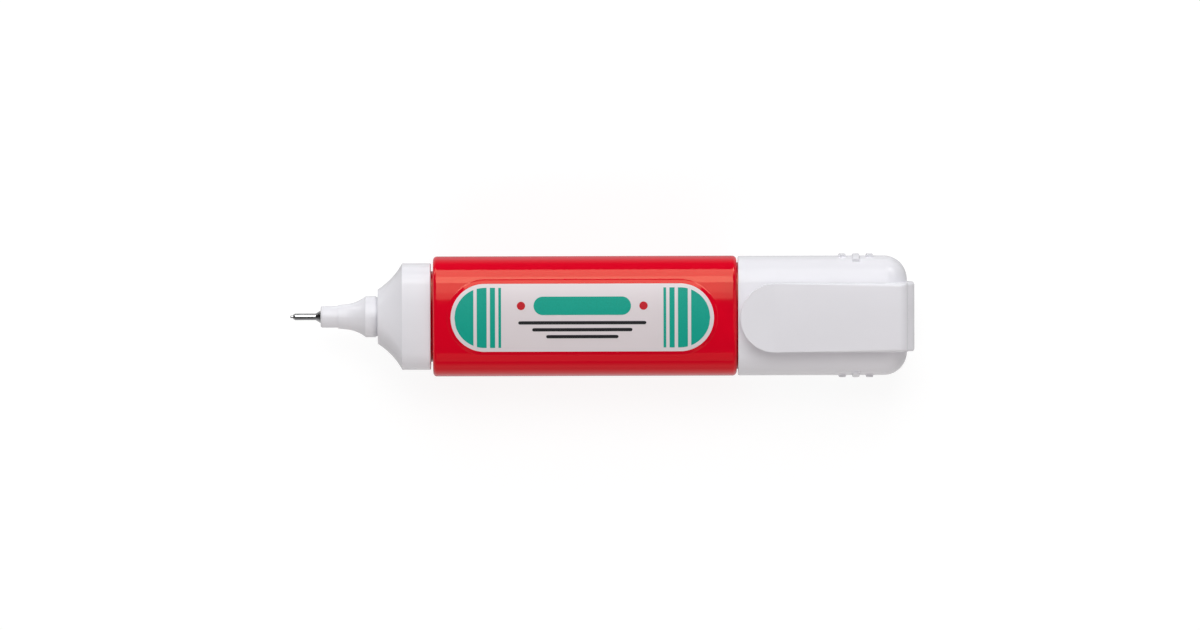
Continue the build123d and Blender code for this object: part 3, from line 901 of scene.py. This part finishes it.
class PEN_OT_label_film(bpy.types.Operator):
    """Mould the low pad on the barrel and lay the label's film on it"""
    bl_idname = "pen.label_film"
    bl_label = "Label film"

    def execute(self, context):
        art = context.scene.pen_label
        red, white = bpy.data.materials[RED_PLASTIC], bpy.data.materials[LABEL_FILM]
        foot_reach = art.pad_margin + (art.pad_height - art.pad_foot) / math.tan(art.pad_slope)
        base_reach = foot_reach + (art.pad_foot + art.pad_sink) / math.tan(art.foot_slope)
        pad = bmesh.new()
        add_stack(pad, (label_outline(art, base_reach), -art.pad_sink),
                  (label_outline(art, foot_reach), art.pad_foot),
                  (label_outline(art, art.pad_margin), art.pad_height))
        lay_on_face(context, "label_pad", pad, 0.0, red, PAD_SHARP)
        film = bmesh.new()
        add_prism(film, label_outline(art, 0.0), 0.0, art.film)
        piece = lay_on_face(context, "label_film", film, art.pad_height, white)
        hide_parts("front_label")
        return {"FINISHED"}


class PEN_OT_label_bands(bpy.types.Operator):
    """Print the bands that fill the label's two round ends"""
    bl_idname = "pen.label_bands"
    bl_label = "Label bands"

    def execute(self, context):
        art = context.scene.pen_label
        half = label_span(art)[1] / 2
        mesh = grown_mesh(context, "label_bands", label_band_tree(face_wrap_tree()), {
            "Bands": art.band_count,
            "First Width": art.band_width,
            "Ratio": art.band_ratio,
            "Gap": art.band_gap,
            "Reach": half.x - art.border,
            "End Radius": half.y - art.border,
            "Ink": art.ink,
            "Face Radius": art.face_radius,
            "Place": label_place(art, art.pad_height + art.film),
            "Material": printed_ink("teal ink", context.scene.pen_finishes.ink_teal),
        })
        place_mesh("label_bands", mesh, "pen")
        return {"FINISHED"}


class PEN_OT_label_print(bpy.types.Operator):
    """Print the plate, the dots and the rules in the middle of the label"""
    bl_idname = "pen.label_print"
    bl_label = "Label print"

    def execute(self, context):
        art = context.scene.pen_label
        look = context.scene.pen_finishes
        plate = rounded_bar((0.0, art.plate_rise), art.plate_size, art.plate_size[1] / 2,
                            PLATE_STEPS)
        dots = [rounded_bar((side * art.dot_reach, art.plate_rise), (art.dot_size, art.dot_size),
                            art.dot_size / 2, DOT_STEPS) for side in (-1, 1)]
        rules = []
        for index in range(art.rule_count):
            size = (art.rule_length - index * art.rule_step, art.rule_height)
            place = (0.0, -art.rule_start - index * art.rule_pitch)
            rules.append(rounded_bar(place, size, art.rule_height / 2, RULE_STEPS))
        teal = printed_ink("teal plate ink", look.ink_teal)
        print_on_label(context, "label_plate", [plate], teal)
        print_on_label(context, "label_dots", dots, printed_ink("red ink", look.ink_red))
        print_on_label(context, "label_rules", rules, printed_ink("black ink", look.ink_black))
        return {"FINISHED"}


class PEN_OT_spring(bpy.types.Operator):
    """Wind the hidden spring, which the needle presses together"""
    bl_idname = "pen.spring"
    bl_label = "Needle spring"

    def execute(self, context):
        spring = context.scene.pen_spring
        size = SPRING_HIGH - SPRING_LOW
        middle = (SPRING_HIGH + SPRING_LOW) / 2
        mesh = grown_mesh(context, "coil_spring", spring_tree(), {
            "Turns": float(spring.turns),
            "Steps": spring.turn_steps,
            "Coil Radius": (size.y - spring.wire) / 2,
            "Wire": spring.wire,
            "Rise": size.x - spring.wire,
            "Place": (SPRING_LOW.x + spring.wire / 2, middle.y, middle.z),
            "Material": bpy.data.materials[TURNED_STEEL],
        })
        piece = place_mesh("coil_spring", mesh, None)
        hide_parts("needle_spring")
        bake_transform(piece)
        return {"FINISHED"}


class PEN_OT_clip(bpy.types.Operator):
    """Mould the pocket clip in one piece with its root on the cap"""
    bl_idname = "pen.clip"
    bl_label = "Clip"

    def execute(self, context):
        clip = context.scene.pen_clip
        piece = place_mesh("pocket_clip", clip_mesh(clip), None,
                           bpy.data.materials[WHITE_PLASTIC])
        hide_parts("cap_clip")
        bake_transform(piece)
        return {"FINISHED"}


class PEN_OT_stage(bpy.types.Operator):
    """Set up the floor, the lamps and the camera"""
    bl_idname = "pen.stage"
    bl_label = "Stage"

    def execute(self, context):
        scene = context.scene
        stage = scene.pen_stage
        scene.view_settings.view_transform = "Standard"
        add_floor(stage)
        add_lamps(stage)
        add_room(scene, stage)
        add_camera(scene, stage)
        return {"FINISHED"}


OPERATORS = (PEN_OT_finishes, PEN_OT_label_film, PEN_OT_label_bands, PEN_OT_label_print,
             PEN_OT_spring, PEN_OT_clip, PEN_OT_stage)


# Panel and registration

class PEN_PT_sidebar(bpy.types.Panel):
    """Sizes, colours and steps of the correction pen"""
    bl_idname = "PEN_PT_sidebar"
    bl_label = "Correction Pen"
    bl_space_type = "VIEW_3D"
    bl_region_type = "UI"
    bl_category = "Correction Pen"

    def draw(self, context):
        for operator in OPERATORS:
            self.layout.operator(operator.bl_idname)
        for name, group in GROUPS.items():
            box = self.layout.box()
            box.label(text=group.__doc__)
            for prop in group.__annotations__:
                box.prop(getattr(context.scene, name), prop)


CLASSES = (*GROUPS.values(), *OPERATORS, PEN_PT_sidebar)


def register():
    for cls in CLASSES:
        bpy.utils.register_class(cls)
    for name, group in GROUPS.items():
        setattr(bpy.types.Scene, name, PointerProperty(type=group))


def unregister():
    for name in GROUPS:
        delattr(bpy.types.Scene, name)
    for cls in reversed(CLASSES):
        bpy.utils.unregister_class(cls)


def main():
    """Registers the add-on and runs its steps."""
    register()
    bpy.ops.pen.finishes()
    bpy.ops.pen.label_film()
    bpy.ops.pen.label_bands()
    bpy.ops.pen.label_print()
    bpy.ops.pen.spring()
    bpy.ops.pen.clip()
    bpy.ops.pen.stage()


if __name__ == "__main__":
    main()
